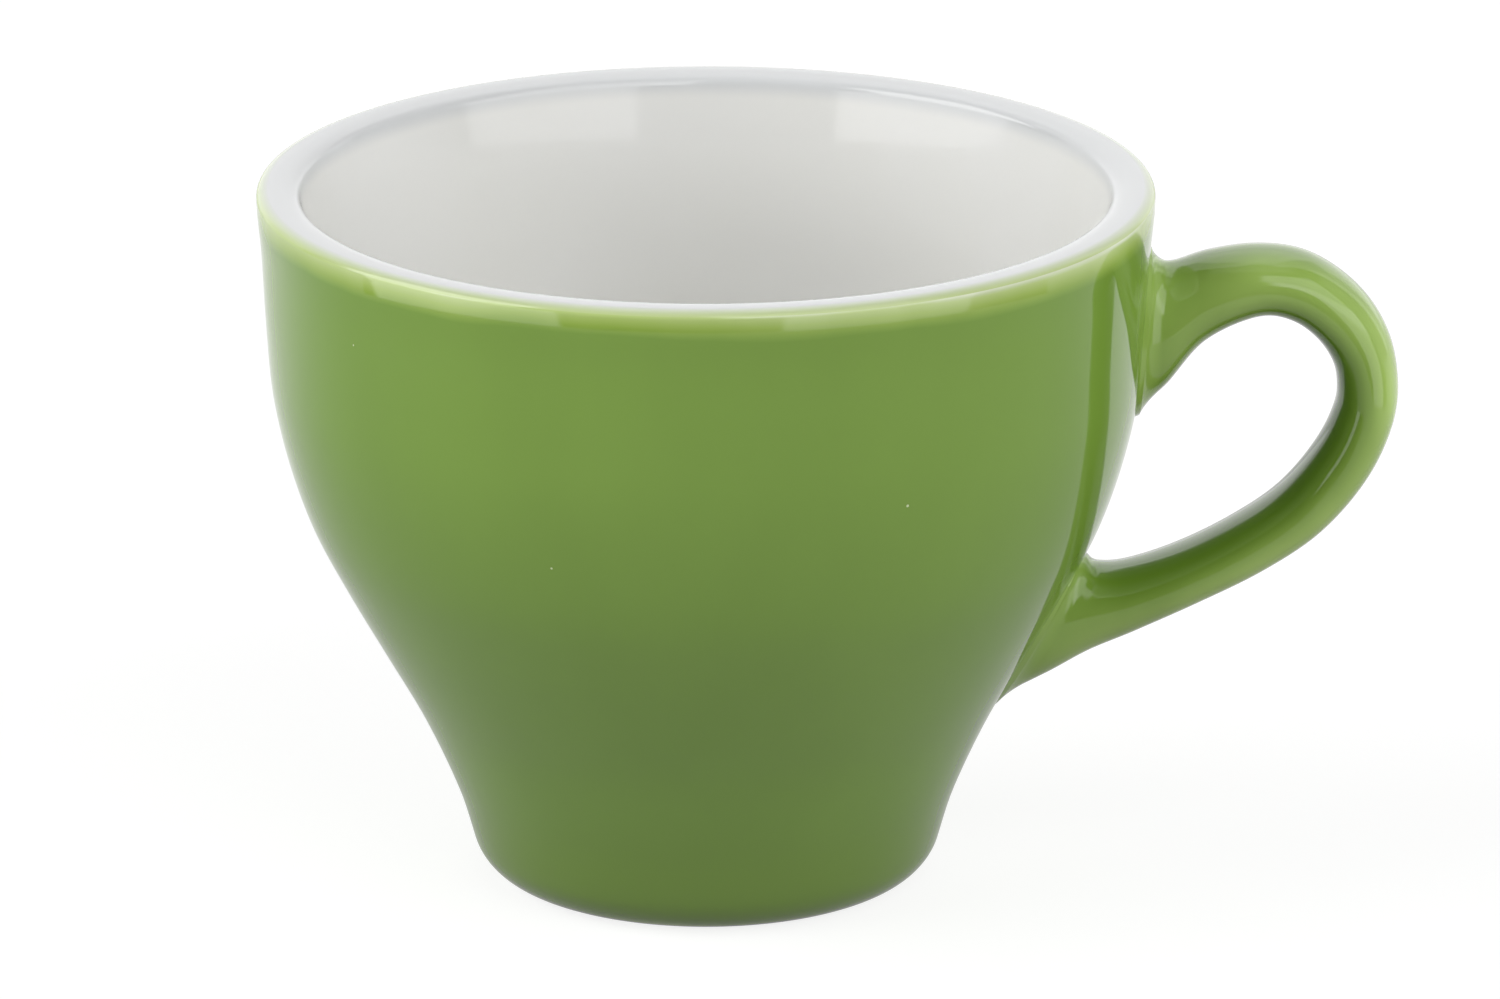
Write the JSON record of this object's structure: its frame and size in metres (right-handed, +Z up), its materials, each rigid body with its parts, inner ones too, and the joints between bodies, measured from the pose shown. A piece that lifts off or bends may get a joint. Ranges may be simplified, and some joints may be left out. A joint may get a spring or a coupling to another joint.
{
  "type": "cappuccino cup",
  "caption": "Wide glazed porcelain coffee cup, green outside and white inside, tapering to a narrow foot, with a looped handle on one side.",
  "frame": {"origin": "centre of the standing ring's plane, on the axis of the bowl", "axes": "+Z up along the axis of the bowl, +X towards the handle, +Y completes a right-handed frame"},
  "size_m": [0.1146, 0.09, 0.072],
  "materials": {
    "bisque": "satin",
    "green_glaze": "gloss",
    "white_glaze": "gloss",
    "clear_glaze": "gloss",
    "slip": "matte"
  },
  "bodies": {
    "root": {"cup_body": "bisque", "outer_glaze": "green_glaze", "liner_glaze": "white_glaze", "base_glaze": "clear_glaze", "handle": "bisque", "handle_glaze": "green_glaze", "upper_joint_slip": "slip", "lower_joint_slip": "slip"}
  },
  "joints": []
}
